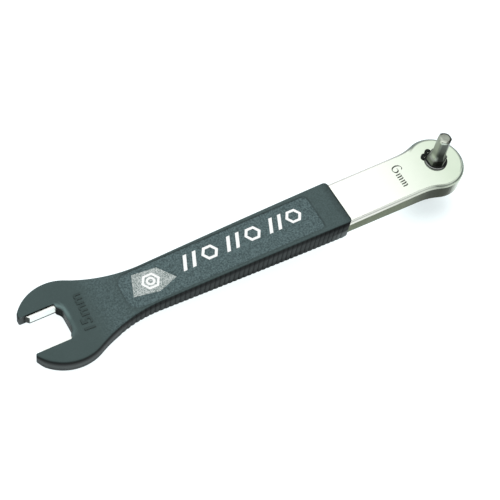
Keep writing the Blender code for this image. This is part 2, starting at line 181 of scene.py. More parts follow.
def rounded(before, point, after, radius):
    """Arc that touches the two lines which meet at a corner of an outline."""
    point = np.array(point, float)
    back = np.array(before, float) - point
    forth = np.array(after, float) - point
    back /= np.linalg.norm(back)
    forth /= np.linalg.norm(forth)
    half = math.acos(float(back @ forth)) / 2.0
    middle = (back + forth) / np.linalg.norm(back + forth)
    centre = point + middle * radius / math.sin(half)
    start = point + back * radius / math.tan(half) - centre
    end = point + forth * radius / math.tan(half) - centre
    first = math.degrees(math.atan2(start[1], start[0]))
    sweep = math.degrees(math.atan2(start[0] * end[1] - start[1] * end[0], float(start @ end)))
    return arc(centre, radius, first, first + sweep, CORNER_POINTS)


def lengths(line):
    """Distance along a line of points, from its first point to each point."""
    return np.concatenate(([0.0], np.cumsum(np.linalg.norm(np.diff(line, axis=0), axis=1))))


def along(line, distance, reach=0.04):
    """Points of a line at the given distances from its start, and its left-hand normals there.

    The normal is the direction of a short chord about the point, turned by a quarter turn."""
    run = lengths(line)
    ahead = np.clip(distance + reach, 0.0, run[-1])
    behind = np.clip(distance - reach, 0.0, run[-1])
    point, front, back = (np.column_stack([np.interp(d, run, line[:, i]) for i in range(2)])
                          for d in (distance, ahead, behind))
    chord = (front - back) / np.linalg.norm(front - back, axis=1)[:, None]
    return point, np.column_stack((-chord[:, 1], chord[:, 0]))


def grid_faces(rows, columns, start, around):
    """Corner numbers of the faces of a grid of points stored row by row."""
    i = np.arange(rows - 1)[:, None]
    j = np.arange(columns if around else columns - 1)[None, :]
    k = (j + 1) % columns
    corners = (i * columns + j, i * columns + k, (i + 1) * columns + k, (i + 1) * columns + j)
    return np.stack(np.broadcast_arrays(*corners), axis=-1).reshape(-1, 4) + start


def set_in_scene(name, mesh):
    """An object for a mesh, linked to the scene."""
    piece = bpy.data.objects.new(name, mesh)
    bpy.context.scene.collection.objects.link(piece)
    return piece


def clean(mesh, weld, change=lambda bm: None):
    """Merges points closer than the weld distance, makes one more change, turns faces outward."""
    bm = bmesh.new()
    bm.from_mesh(mesh)
    bmesh.ops.remove_doubles(bm, verts=bm.verts, dist=weld)
    change(bm)
    bmesh.ops.recalc_face_normals(bm, faces=bm.faces)
    bm.to_mesh(mesh)
    bm.free()


def solid(name, grids, sharp, weld=1e-7):
    """One closed piece from several grids of points whose edges meet.

    Points that coincide are merged, faces that shrink to a line go, the rest face outward."""
    points, faces, start = [], [], 0
    for grid, around in grids:
        rows, columns = grid.shape[:2]
        points.append(to_bench(grid))
        faces.append(grid_faces(rows, columns, start, around))
        start += rows * columns
    mesh = bpy.data.meshes.new(name)
    mesh.from_pydata(np.concatenate(points), [], np.concatenate(faces).tolist())
    clean(mesh, weld, lambda bm: bmesh.ops.dissolve_degenerate(bm, edges=bm.edges, dist=weld))
    mesh.shade_smooth()
    mesh.set_sharp_from_angle(angle=math.radians(sharp))
    return set_in_scene(name, mesh)


def finish(piece, slot, *materials, stands_for=None):
    """Gives a piece its materials and its place on the one body; its slot is not used."""
    for material in materials:
        piece.data.materials.append(material)
    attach(piece, "root")
    if stands_for:
        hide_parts(stands_for)
    return piece


def vectors(items, name):
    """One vector for each point or face of a mesh, as rows."""
    flat = np.zeros(len(items) * 3)
    items.foreach_get(name, flat)
    return flat.reshape(-1, 3)


def point_layer(mesh, name, value):
    """Stores one number for each point of a mesh."""
    layer = mesh.attributes.new(name, "FLOAT", "POINT")
    layer.data.foreach_set("value", np.broadcast_to(value, len(mesh.vertices)).astype(np.float32))


def tool_points(mesh):
    """The points of a finished mesh in the tool's frame, in millimetres."""
    x, y, z = (vectors(mesh.vertices, "co") / MM - np.array(TOOL_PLACE)).T
    c, s = math.cos(TILT), math.sin(TILT)
    return c * x + s * z, y, c * z - s * x


def ramp(value, start, end):
    """0 up to the start, 1 from the end on, a straight line between them."""
    return np.clip((value - start) / (end - start), 0.0, 1.0)


def bell(value, centre, width):
    """1 at the centre, falling as a bell curve of the given width."""
    return np.exp(-((value - centre) / width) ** 2)


def blend(first, second, share):
    """A straight mix of two values, the second where the share is 1."""
    return first * (1.0 - share) + second * share


def turned_to(angle, degrees, start, end):
    """Ramp of the cosine between an angle and a direction: 1 where they agree."""
    return ramp(np.cos(angle - np.radians(degrees)), start, end)


# ---- grip ----

def jaw_share(x):
    """1 along the jaw, 0 along the handle, a straight line over the neck."""
    return ramp(-x, JAW_REACH - NECK_FROM_JAW[0], JAW_REACH - NECK_FROM_JAW[1])


def grip_height(x):
    """Half thickness of the grip: thin at the jaw, then a quarter sine wave up to full."""
    share = (x + JAW_REACH - TAPER_FROM_JAW) / (JAW_REACH - TAPER_FROM_JAW - GRIP_START)
    ease = np.sin(np.radians(90.0) * np.clip(share, 0.0, 1.0))
    return (GRIP_JAW_THICKNESS + (GRIP_THICKNESS - GRIP_JAW_THICKNESS) * ease) / 2.0


def grip_half_width(x):
    """Half width of the handle: a straight taper, then the circle of the neck's fillet."""
    share = (x - NECK_X) / (-GRIP_START - NECK_X)
    straight = NECK_HALF + (GRIP_END_WIDTH / 2.0 - NECK_HALF) * share
    inside = np.clip(GRIP_NECK_FILLET ** 2 - (x - NECK_X) ** 2, 0.0, None)
    return np.where(x < NECK_X, NECK_HALF + GRIP_NECK_FILLET - np.sqrt(inside), straight)


def field_line(x):
    """Half width of the recessed field: a straight line between its two ends."""
    near = grip_half_width(np.array(FIELD_NEAR)) - FIELD_MARGIN
    far = grip_half_width(np.array(FIELD_FAR)) - FIELD_MARGIN
    return far + (near - far) * (x - FIELD_FAR) / (FIELD_NEAR - FIELD_FAR)


def field_distance(x, y):
    """Distance outside the rounded border of the recessed field; negative inside it."""
    edge = np.abs(y) - field_line(x)
    out = np.maximum(edge, np.maximum(x - FIELD_NEAR, FIELD_FAR - x))
    for past, radius in ((x - FIELD_NEAR, FIELD_NEAR_CORNER), (FIELD_FAR - x, FIELD_FAR_CORNER)):
        a, b = edge + radius, past + radius
        out = np.where((a > 0.0) & (b > 0.0), np.hypot(a, b) - radius, out)
    return out


def field_share(x, y):
    """1 on the recessed field, 0 outside it, with a straight ramp at its border."""
    return np.clip(0.5 - field_distance(x, y) / FIELD_WALL, 0.0, 1.0)


def grip_surface(x, y):
    """Height of the grip's upper face, the recessed field included."""
    return grip_height(x) - FIELD_DEPTH * field_share(x, y)


def grip_side(tip):
    """Outer edge of one half: end, corner, straight side, neck fillet, round jaw, tip corner."""
    end, front = -GRIP_START, -(JAW_REACH + tip)
    neck = (NECK_X, NECK_HALF)
    tip_angle = math.degrees(math.acos(-tip / GRIP_JAW_RADIUS))
    fillet = arc((NECK_X, NECK_HALF + GRIP_NECK_FILLET), GRIP_NECK_FILLET, -90.0,
                 NECK_LEAN - 180.0, FILLET_POINTS)
    jaw = arc((-JAW_REACH, 0.0), GRIP_JAW_RADIUS, NECK_LEAN, tip_angle - TIP_ANGLE_LEFT, JAW_POINTS)
    point = (front, GRIP_JAW_RADIUS * math.sin(math.radians(tip_angle)))
    return np.concatenate((
        [(end, 0.0)],
        rounded((end, 0.0), (end, GRIP_END_WIDTH / 2.0), neck, GRIP_CORNER),
        fillet,
        jaw[1:],
        rounded(jaw[-1], point, (front, 0.0), GRIP_TIP_CORNER),
    ))


def grip_mouth(tip):
    """Edge of the jaw's mouth: covered throat and its round corner, a short step back over the
    steel, the straight edge behind the steel face, and the tip corner."""
    face = JAW_OPENING / 2.0
    back = face + GRIP_SETBACK
    front = -(JAW_REACH + tip)
    centre = (THROAT_X - THROAT_CORNER, face - THROAT_CORNER)
    cover = arc(centre, THROAT_CORNER, 0.0, 90.0 - THROAT_LIP_ANGLE, COVER_POINTS)
    step = (cover[-1, 0] - LIP_SLANT, back)
    return np.concatenate((
        [(THROAT_X, 0.0)],
        cover[:-3],
        rounded(cover[-3], cover[-1], step, LIP_CORNER),
        rounded(cover[-1], step, (front, back), GRIP_TIP_CORNER),
        rounded((0.0, back), (front, back), (front, 2.0 * GRIP_JAW_RADIUS), GRIP_TIP_CORNER),
    ))


def rib_inset(x):
    """Depth of the grooves between the ribs: each rib is a round lobe one pitch long."""
    first, last = -(GRIP_START + RIB_FIRST), RIB_LAST - JAW_REACH
    phase = np.abs((first - x) / RIB_PITCH - np.round((first - x) / RIB_PITCH))
    circle = np.sqrt(np.clip(1.0 - (1.0 - 2.0 * phase) ** 2, 0.0, 1.0))
    ends = ramp(first + RIB_FADE - x, 0.0, RIB_FADE) * ramp(x - last + RIB_FADE, 0.0, RIB_FADE)
    return RIB_DEPTH * (1.0 - circle ** RIB_ROUNDNESS) * ends


def edge_profile(upper, lower, upper_rim, lower_rim):
    """Inset and height of a rounded edge: quarter circle, upright wall, quarter circle."""
    angle = np.radians(np.linspace(90.0, 0.0, RIM_STEPS + 1))
    top = upper[:, None] - upper_rim + upper_rim * np.sin(angle)[None, :]
    bottom = -lower[:, None] + lower_rim - lower_rim * np.sin(angle[::-1])[None, :]
    share = np.linspace(1.0, 0.0, WALL_STEPS + 1)[1:-1]
    wall = (upper - upper_rim)[:, None] * share + (lower_rim - lower)[:, None] * (1.0 - share)
    level = np.concatenate((top, wall, bottom), axis=1)
    inset = np.concatenate((upper_rim * (1.0 - np.cos(angle)), np.zeros(WALL_STEPS - 1),
                            lower_rim * (1.0 - np.cos(angle[::-1]))))
    return np.broadcast_to(inset, level.shape), level


def tip_wall(upper, lower, front):
    """Flat front of a jaw tip: each point of the upper edge is carried down a rounded profile
    to the point below it; both roundings are as wide as the edges lie behind the front."""
    angle = np.radians(np.linspace(90.0, 0.0, RIM_STEPS + 1))
    sides = []
    for edge in (upper, lower):
        rim = edge[:, :1] - front
        rise = np.abs(edge[:, 2:]) - rim * (1.0 - np.sin(angle))
        sides.append((rim * (1.0 - np.cos(angle)), np.sign(edge[:, 2:]) * rise))
    (out_high, high), (out_low, low) = sides
    share = np.linspace(1.0, 0.0, WALL_STEPS + 1)[1:-1]
    middle = high[:, -1:] * share + low[:, -1:] * (1.0 - share)
    level = np.concatenate((high, middle, low[:, ::-1]), axis=1)
    out = np.concatenate((out_high, np.zeros(middle.shape), out_low[:, ::-1]), axis=1)
    return np.stack((front + out, np.broadcast_to(upper[:, 1:2], out.shape), level), axis=2)


def grip_grids(tip, hand):
    """Skin of one half of the grip, as three grids that share their edges.

    Rows follow the outer edge; each row runs from the handle's axis, or from the edge of the
    mouth, over the top, round the rim, down the ribbed wall and back below. The second grid is
    the wall of the mouth and the third the flat front of the tip."""
    side, mouth = grip_side(tip), grip_mouth(tip)
    run, mouth_run = lengths(side), lengths(mouth)[-1]
    jaw_x = GRIP_JAW_RADIUS * math.cos(math.radians(MOUTH_ANGLE)) - JAW_REACH
    on_jaw = np.argmax(side[:, 0] < jaw_x)
    meet = run[on_jaw]
    corner_end = run[CORNER_POINTS]
    behind = (JAW_REACH - RIB_LAST - 1.0, AXIS_KEY)
    last_rib, neck_key = np.interp(behind, -side[:on_jaw, 0], run[:on_jaw])
    rib_rows = np.arange(corner_end, last_rib, RIB_PITCH / RIB_STEPS)
    rows = np.concatenate((np.linspace(0.0, corner_end, ROWS_TO_RIBS)[:-1], rib_rows,
                           np.linspace(rib_rows[-1], meet, ROWS_TO_MOUTH)[1:],
                           np.linspace(meet, run[-1], ROWS_ROUND_MOUTH)[1:]))
    meet_row = int(np.argmin(np.abs(rows - meet)))

    # Where each row starts: on the axis as far as the mouth, then on the mouth's edge. The rows
    # of the end fan out from a short stretch of the axis, 4 to 5 mm in from it
    outer, left = along(side, rows)
    normal = -left if left[0, 0] < 0 else left
    keys = np.array([0.0, corner_end, corner_end + 12.0, neck_key, meet])
    key_x = np.interp(keys, run, side[:, 0])
    axis_x = np.array([-GRIP_START - 4.0, -GRIP_START - 5.0, key_x[2], key_x[3],
                       THROAT_X + LOW_RIM])
    inner = np.column_stack((np.interp(rows, keys, axis_x), np.zeros(len(rows))))
    lip, lip_left = along(mouth, (rows[meet_row:] - meet) / (run[-1] - meet) * mouth_run)
    lip_normal = lip_left if lip_left[0, 0] > 0 else -lip_left
    inner[meet_row:] = lip + lip_normal * LOW_RIM

    x = outer[:, 0]
    flare = HANDLE_FLARE + (JAW_FLARE - HANDLE_FLARE) * jaw_share(x)
    flare = flare * ramp(rows, corner_end, corner_end + 1.5) * ramp(run[-1] - rows, 0.8, 4.0)

    def cap(rim, wider):
        """One face, from its rim to the row's start, with close columns at the field's border."""
        edge = outer - normal * (rim - wider)[:, None]
        span = inner - edge
        width = np.linalg.norm(span, axis=1)
        beside_field = (x < FIELD_NEAR) & (x > FIELD_FAR)
        margin = np.where(beside_field, grip_half_width(x) - field_line(x), FIELD_MARGIN)
        border = np.minimum(margin - rim, width * 0.4)
        half_wall = np.minimum(FIELD_WALL / 2.0, width * 0.05)
        steps = [border * share for share in BORDER_SHARES]
        steps += [border - half_wall, border + half_wall]
        rest = width - border - half_wall
        steps += [border + half_wall + rest * share for share in FACE_SHARES]
        steps = np.stack(steps, axis=1) / width[:, None]
        plan = edge[:, None, :] + steps[:, :, None] * span[:, None, :]
        return np.concatenate((plan, grip_surface(plan[..., 0], plan[..., 1])[..., None]), axis=2)

    def wall(edge, out, inset, level):
        """A profile carried along an edge."""
        plan = edge[:, None, :] - out[:, None, :] * inset[..., None]
        return np.concatenate((plan, level[..., None]), axis=2)

    top = cap(GRIP_RIM, np.zeros(len(rows)))
    bottom = cap(LOW_RIM, flare) * np.array([1.0, 1.0, -1.0])
    inset, level = edge_profile(top[:, 0, 2], -bottom[:, 0, 2], GRIP_RIM, LOW_RIM)
    depth = grip_height(x)[:, None] - level
    shown = ramp(depth, RIB_TOP_BAND * 0.5, RIB_TOP_BAND)
    shown[:, -3:] *= np.array(RIB_FOOT_FADE)
    on_side = ramp(rows[:, None] - corner_end, 0.0, 0.5) * (rows[:, None] < meet)
    inset = inset + rib_inset(x)[:, None] * shown * on_side
    inset = inset - flare[:, None] * ramp(depth, *FLARE_DEPTHS)
    skirt = wall(outer, normal, inset, level)
    first = np.concatenate((top[:, ::-1], skirt[:, 1:-1], bottom), axis=1)

    lip_level = grip_height(inner[meet_row:, 0])
    second = wall(lip, -lip_normal, *edge_profile(lip_level, lip_level, LOW_RIM, LOW_RIM))
    third = tip_wall(top[-1], bottom[-1], outer[-1, 0])
    return [(grid * np.array([1.0, hand, 1.0]), False) for grid in (first, second, third)]


def grip_grain(x, y):
    """Strength of the moulded grain: full on the field, less round it, gone at the jaw."""
    handle_grain, neck_gain, jaw_loss = 0.3, 0.35, 0.9
    neck = ramp(-x, -FIELD_FAR - 4.0, -FIELD_FAR + 4.0)
    jaw = ramp(-x, JAW_REACH - 19.0, JAW_REACH - 10.0)
    return np.maximum(field_share(x, y), (handle_grain + neck_gain * neck) * (1.0 - jaw_loss * jaw))


def throat_glint(x, y):
    """Light on the soft edge of the throat: a band a little way in from the edge, strongest at
    the +Y corner."""
    inset, width = 1.05, 0.7
    centre = THROAT_X - THROAT_CORNER
    beside = np.abs(y) - (JAW_OPENING / 2.0 - THROAT_CORNER)
    inward = np.where(beside > 0.0, np.hypot(x - centre, beside), x - centre) - THROAT_CORNER
    strength = (0.45 + 1.05 * ramp(y, -1.0, 1.5)) * ramp(x, centre - 0.5, centre + 2.5)
    return strength * bell(inward, inset, width)


def depth_below(x, y, z):
    """Depth below the grip's upper face."""
    return np.clip(grip_surface(x, y) - z, 0.0, None)


def grip_side_share(x, y, z):
    """1 on the outer walls of the grip, 0 on its faces; at the handle's end it starts higher."""
    under = ramp(grip_surface(x, y) + z, 0.0, 0.05)
    last = ramp(x, -GRIP_START - 1.5, -GRIP_START - 0.6)
    return ramp(depth_below(x, y, z), 0.0, 0.3 - 0.15 * last) * under


def in_mouth(x, y):
    """True for points on and just round the walls of the jaw's mouth."""
    beside = np.abs(y) < JAW_OPENING / 2.0 + GRIP_SETBACK + 0.15
    return beside & (x < THROAT_X + 0.8)


def wall_tone(x, y, z):
    """Painted light and shade on the outer walls: a band of painted shade under the rim, then the
    wall lit lighter by painted light, lightest at the jaw and at the foot of the handle's end;
    painted shade darkens the gaps between ribs."""
    jaw_wall, jaw_foot, jaw_band = 2.4, 1.5, 0.5
    handle_wall, handle_foot, handle_band = 1.5, 0.9, 0.55
    end_wall, end_band, end_foot, corner_foot = 1.0, 0.25, 0.7, 1.5
    gap_loss = 0.75
    down = depth_below(x, y, z)
    jaw = jaw_share(x)
    near_end = ramp(x, -GRIP_START - 26.0, -GRIP_START - 8.0)
    corner = ramp(x, -GRIP_START - 10.0, -GRIP_START - 5.0)
    below_band = blend(ramp(down, 2.0, 3.7), ramp(down, 1.3, 2.9), jaw)
    foot = near_end * (end_foot + corner_foot * corner) * ramp(-z, 0.3, 1.6)
    handle = blend(blend(handle_wall, handle_foot, ramp(down, 7.0, 8.8)), end_wall, near_end) + foot
    # Painted light: below the band the walls are lit lighter than the faces, most at the jaw
    wear_and_painted_light = blend(handle, blend(jaw_wall, jaw_foot, ramp(down, 3.6, 5.6)), jaw)
    band = blend(blend(handle_band, end_band, near_end), jaw_band, jaw)
    # Painted shade in the gaps between the ribs
    on_rib_side = ramp(np.abs(y) - grip_half_width(x), -2.0, -1.0) * (1.0 - jaw)
    return blend(band, wear_and_painted_light, below_band) * (1.0 - gap_loss * rib_inset(x) / RIB_DEPTH * on_rib_side)


def mouth_tone(x, y, z):
    """Painted light and shade on the mouth's walls: painted light in the throat but for its +Y
    corner, a painted shadow on the step over the steel, painted light at the tips."""
    throat_wall, lit_gain, corner_loss, rim_gain = 1.2, 1.4, 2.2, 0.4
    step_tone, tip_gain = 0.05, 2.1
    down = depth_below(x, y, z)
    on_step = np.abs(y) > JAW_OPENING / 2.0 + GRIP_SETBACK - LIP_SLANT
    tip = ramp(-x, JAW_REACH + 13.0, JAW_REACH + 14.5)
    lit = ramp(y, -5.0, -1.0)
    wall = throat_wall + lit_gain * lit - corner_loss * ramp(y, 2.5, 4.5)
    throat = blend(1.0 + rim_gain * lit * ramp(down, 0.0, 0.05), wall, ramp(down, 0.05, 0.45))
    return np.where(on_step, blend(1.0, step_tone + tip_gain * tip, ramp(down, 0.0, 0.2)), throat)


def grip_shade(x, y, z):
    """Tone of the rubber, 1 on the faces. Painted shade darkens the bands under the rims and the
    field's border, the face darkens towards the end's edge, and a painted highlight lightens the
    edge of the throat."""
    border_loss, end_loss, edge_gain = 0.25, 0.4, 0.9
    side = grip_side_share(x, y, z)
    outside = blend(1.0, wall_tone(x, y, z), side)
    border = bell(field_distance(x, y), 0.15, 0.4) * (1.0 - side)
    end = ramp(x, -GRIP_START - 4.5, -GRIP_START - 0.6)
    end = (end + edge_gain * ramp(x, -GRIP_START - 0.8, -GRIP_START - 0.6)) * (1.0 - side)
    tone = np.where(in_mouth(x, y), mouth_tone(x, y, z), outside)
    tone = tone * (1.0 + throat_glint(x, y) * (z > 0.0))
    return tone * (1.0 - border_loss * border) * (1.0 - end_loss * end)


def grip_gloss(x, y, z):
    """Share of the rubber's shine: full on the faces, none on the dusty walls."""
    mouth_wall = ramp(depth_below(x, y, z), 0.05, 0.45)
    return 1.0 - np.where(in_mouth(x, y), mouth_wall, grip_side_share(x, y, z))


def make_grip(material):
    """Two halves of the skin, meeting on the handle's axis, with grain and painted light and shade.
    """
    short = GRIP_JAW_RADIUS - JAW_TIP_CUT
    grids = grip_grids(short, 1.0) + grip_grids(short + LONG_TIP_EXTRA, -1.0)
    grip = solid("grip", grids, sharp=40.0, weld=2e-6)
    x, y, z = tool_points(grip.data)
    point_layer(grip.data, "grain", grip_grain(x, y))
    # Painted light and shade of the rubber, stored on its points as their shade
    point_layer(grip.data, "shade", grip_shade(x, y, z))
    point_layer(grip.data, "gloss", grip_gloss(x, y, z))
    return finish(grip, "moulded_rubber", material, stands_for="grip_sleeve")


# ---- hex bit ----

def hexagon(across_flats, angle):
    """Distance from the axis to a hexagon's side, at each angle, with corners slightly rounded by
    wear.
    """
    worn_to, blend_power = 0.985, 14.0
    a = np.radians((np.degrees(angle) + 30.0) % 60.0 - 30.0)
    side = across_flats / 2.0 / np.cos(a)
    wear_and_painted_light = across_flats / math.sqrt(3.0) * worn_to
    return -np.log(np.exp(-side * blend_power) + np.exp(-wear_and_painted_light * blend_power)) / blend_power


def bit_tone(x, y, z):
    """Painted light and shade on the steel, 1 for its own colour: painted shade darkens the facets
    that turn to -Y and the collar, and a painted glint lights the shoulder's corner; on the end
    face a painted highlight runs along the front edge, painted shade along the edge behind, and a
    painted highlight lies in a crescent in its dish on the side of the jaw."""
    lit_facet_tone, painted_shade_loss, collar_loss, glint_gain = 1.15, 0.8, 0.82, 1.0
    dish_gain, front_gain, rim_loss = 0.6, 1.3, 0.9
    darkest_end, darkest_side = 0.08, 0.05
    angle, radius = np.arctan2(y, x), np.hypot(x, y)
    # Painted shade on the facets that turn to -Y and on the collar, and a painted glint at the
    # shoulder's corner
    collar = 1.0 - ramp(z, BIT_COLLAR + 0.6, BIT_SHOULDER + 3.2)
    painted_shade = turned_to(angle, 268.0 + 20.0 * collar, 0.3 - 0.4 * collar, 0.75 - 0.25 * collar)
    left = turned_to(angle, 192.0, 0.72, 0.96)
    side = (lit_facet_tone - painted_shade_loss * painted_shade) * (1.0 - collar_loss * collar * (1.0 - 0.4 * left))
    side = side + glint_gain * bell(z, BIT_SHOULDER - 2.3, 1.3) * left
    # Painted highlights and shade on the end face
    front = turned_to(angle, 220.0, 0.8, 0.97)
    behind = np.maximum(turned_to(angle, 28.0, -0.15, 0.4), turned_to(angle, 308.0, 0.55, 0.9))
    rim = ramp(radius, SMALL_HEX / 2.0 - 0.95, SMALL_HEX / 2.0 - 0.65)
    dish = 1.0 + dish_gain * turned_to(angle, 200.0, 0.2, 0.8) * ramp(radius, 0.8, 1.6)
    end = blend(dish, 1.0 + front_gain * front - rim_loss * behind, rim)
    on_end = z > BIT_TOP - 1.3 * END_CHAMFER
    return np.where(on_end, np.maximum(end, darkest_end), np.maximum(side, darkest_side))


def make_hex_bit(material):
    """Bar whose radius at each height and angle is the least of its hexagon and its turned
    envelope: dished and chamfered end, small hexagon, concave shoulder, large hexagon, ring
    groove, flange and the chamfered lower end."""
    angle = np.radians(np.arange(0.0, 360.0, 2.5))
    small_hexagon, large_hexagon = hexagon(SMALL_HEX, angle), hexagon(LARGE_HEX, angle)
    small_face = SMALL_HEX / math.sqrt(3.0) - END_CHAMFER
    large_face = LARGE_HEX / math.sqrt(3.0) - END_CHAMFER
    groove_high, groove_low = RING_HIGH + GROOVE_PLAY, RING_LOW - GROOVE_PLAY
    rows = []

    def row(radius, z):
        """One ring of the bar, from a radius for each angle."""
        radius = np.broadcast_to(radius, angle.shape)
        flat = np.full(len(angle), z)
        rows.append(np.column_stack((radius * np.cos(angle), radius * np.sin(angle), flat)))

    def chamfer(face, z_end, direction, outline):
        """Rings from an end face along the bar, each the least of the outline and a cone."""
        for drop in np.linspace(0.0, END_CHAMFER * END_CHAMFER_SLOPE * 1.15, 8):
            row(np.minimum(outline, face + drop / END_CHAMFER_SLOPE), z_end + direction * drop)

    row(0.0, BIT_TOP - END_DISH)
    for share in (0.35, 0.7, 0.92):
        row((small_face - END_RIM) * share, BIT_TOP - END_DISH * (1.0 - share ** 2))
    row(small_face - END_RIM, BIT_TOP - 0.02)
    row(small_face - END_RIM + 0.12, BIT_TOP)
    chamfer(small_face, BIT_TOP, -1.0, small_hexagon)
    for z in np.linspace(BIT_TOP - 1.5, BIT_SHOULDER, 12):
        row(small_hexagon, z)
    for turn in np.radians(np.linspace(82.0, 0.0, 12)):
        size = LARGE_HEX - (LARGE_HEX - SMALL_HEX) * math.sin(turn)
        row(hexagon(size, angle), blend(BIT_SHOULDER, BIT_COLLAR, math.cos(turn)))
    for z in (9.1, 8.0, 7.0, groove_high + 0.08):
        row(large_hexagon, z)
    row(large_hexagon - 0.1, groove_high)
    row(GROOVE_RADIUS, groove_high)
    row(GROOVE_RADIUS, groove_low)
    for z in (groove_low, 2.0, -2.0, FLANGE_HIGH):
        row(large_hexagon, z)
    row(FLANGE_RADIUS - 0.2, FLANGE_HIGH)
    row(FLANGE_RADIUS, FLANGE_HIGH - 0.2)
    row(FLANGE_RADIUS, FLANGE_LOW + FLANGE_EDGE)
    row(FLANGE_RADIUS - FLANGE_EDGE, FLANGE_LOW)
    for z in np.linspace(FLANGE_LOW, BIT_BOTTOM + 1.2, 10):
        row(large_hexagon, z)
    lower = len(rows)
    chamfer(large_face, BIT_BOTTOM, 1.0, large_hexagon)
    rows[lower:] = rows[lower:][::-1]
    row(large_face * 0.6, BIT_BOTTOM)
    row(0.0, BIT_BOTTOM)
    bit = solid("hex_bit_turned", [(np.stack(rows), True)], sharp=24.0, weld=1e-6)
    # Painted light and shade of the steel, kept on its points as its tone
    point_layer(bit.data, "tone", bit_tone(*tool_points(bit.data)))
    return finish(bit, "tool_steel", material, stands_for="hex_bit")


# ---- plate and ring, finished from the part's own solids ----

def merged_copy(name, node, edge, edge_slot=-1, corner=28.0):
    """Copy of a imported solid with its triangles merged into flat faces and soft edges."""
    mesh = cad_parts[node].data.copy()
    mesh.name = name
    mesh.materials.clear()
    bm = bmesh.new()
    bm.from_mesh(mesh)
    bmesh.ops.remove_doubles(bm, verts=bm.verts, dist=1e-7)
    bmesh.ops.dissolve_limit(bm, angle_limit=math.radians(0.6), verts=bm.verts, edges=bm.edges)
    bm.to_mesh(mesh)
    bm.free()
    mesh.shade_smooth()
    mesh.set_sharp_from_angle(angle=math.radians(corner))
    piece = set_in_scene(name, mesh)
    soft = piece.modifiers.new("soft_edges", "BEVEL")
    soft.width = edge * MM
    soft.segments = 2
    soft.material = edge_slot
    soft.limit_method = "ANGLE"
    soft.angle_limit = math.radians(corner)
    soft.harden_normals = True
    return piece


def make_plate(*materials):
    """Forged plate: faces finished by grinding, forged side walls, edges with wear and painted
    shade, and the chamfer of the far side with the head's end, in this order of materials."""
    flat, forged, wear_and_painted_light, rolled = range(4)
    far_side = np.array([0.64, 0.77, 0.0])
    plate = merged_copy("forged_plate", "wrench_plate", edge=0.28, edge_slot=wear_and_painted_light)
    finish(plate, "nickel_plate", *materials, stands_for="wrench_plate")
    normals = vectors(plate.data.polygons, "normal")
    along_x = vectors(plate.data.polygons, "center")[:, 0] / MM - TOOL_PLACE[0]
    up = normals @ np.array(TOOL_UP)
    bare = along_x > -GRIP_START - 5.0
    upright = np.abs(up) < 0.3
    chamfer = bare & ~upright & (up > 0.0) & (up < 0.9)
    lead_in = ~bare & upright & (np.abs(normals[:, 0]) > 0.5) & (np.abs(normals[:, 1]) > 0.5)
    index = np.full(len(normals), flat)
    index[bare & upright] = forged
    index[lead_in] = wear_and_painted_light
    index[chamfer & (normals @ far_side > 0.2)] = rolled
    plate.data.polygons.foreach_set("material_index", index.astype(np.int32))
    return plate


# ---- marks ----

def lettering(name, body, size, centre, up, thickness, surface, material, slot):
    """Text set as a thin closed slab on a face: stretched to its length and height, turned so
    that its upright direction is up in the tool frame, centred and lifted to the surface."""
    curve = bpy.data.curves.new(name, "FONT")
    curve.body = body
    curve.align_x = "CENTER"
    curve.align_y = "CENTER"
    curve.size = 5.0
    curve.offset = 0.07
    curve.resolution_u = 6
    curve.extrude = thickness / 2.0
    source = set_in_scene(name, curve)
    graph = bpy.context.evaluated_depsgraph_get()
    mesh = bpy.data.meshes.new_from_object(source.evaluated_get(graph))
    bpy.data.objects.remove(source, do_unlink=True)
    points = vectors(mesh.vertices, "co")
    low, high = points.min(axis=0)[:2], points.max(axis=0)[:2]
    flat = (points[:, :2] - (low + high) / 2.0) / (high - low) * size
    rise = np.array([up[0], up[1]]) / math.hypot(*up)
    right = np.array([rise[1], -rise[0]])
    plan = np.array(centre) + flat[:, :1] * right + flat[:, 1:] * rise
    level = surface(plan[:, 0], plan[:, 1]) + points[:, 2] + thickness * 0.2
    mesh.vertices.foreach_set("co", to_bench(np.column_stack((plan, level))).ravel())
    clean(mesh, 1e-6)
    # Painted shade: the raised letters are drawn a little darker than the rubber round them
    point_layer(mesh, "shade", 0.78)
    point_layer(mesh, "grain", 0.0)
    point_layer(mesh, "gloss", 1.0)
    return finish(set_in_scene(name, mesh), slot, material)


def pen_strokes(name, strokes, corner, up, surface, material, slot, proud=0.03, pen=0.43):
    """Stamped strokes of changing width, one closed slab: each is a smooth line through its
    points with a share of its width laid off to both sides, raised to just above the surface."""
    rise = np.array(up, float)
    right = np.array([rise[1], -rise[0]])
    soft = np.array([1.0, 2.0, 3.0, 2.0, 1.0]) / 9.0
    grids = []
    for stroke in strokes:
        keys = np.array(stroke, float)
        at = np.linspace(0.0, len(keys) - 1.0, 6 * len(keys))
        line = np.column_stack([np.interp(at, np.arange(len(keys)), keys[:, i]) for i in range(3)])
        for _ in range(2):
            padded = np.vstack((line[:1], line[:1], line, line[-1:], line[-1:]))
            line = np.stack([np.convolve(padded[:, i], soft, "valid") for i in range(3)], axis=1)
        chord = np.gradient(line[:, :2], axis=0)
        chord /= np.linalg.norm(chord, axis=1)[:, None]
        side = np.column_stack((-chord[:, 1], chord[:, 0])) * line[:, 2:] * pen
        edges = [line[:, :2] + side, line[:, :2] - side]
        plans = [np.array(corner) + edge[:, :1] * right + edge[:, 1:] * rise for edge in edges]
        tops = [np.column_stack((p, surface(p[:, 0], p[:, 1]) + proud)) for p in plans]
        drop = np.array([0.0, 0.0, 2.0 * proud])
        section = np.stack((tops[0], tops[1], tops[1] - drop, tops[0] - drop), axis=1)
        middle = np.broadcast_to(section.mean(axis=1, keepdims=True), section.shape)
        grids.append((np.concatenate((middle[:1], section, middle[-1:])), True))
    return finish(solid(name, grids, sharp=30.0), slot, material)


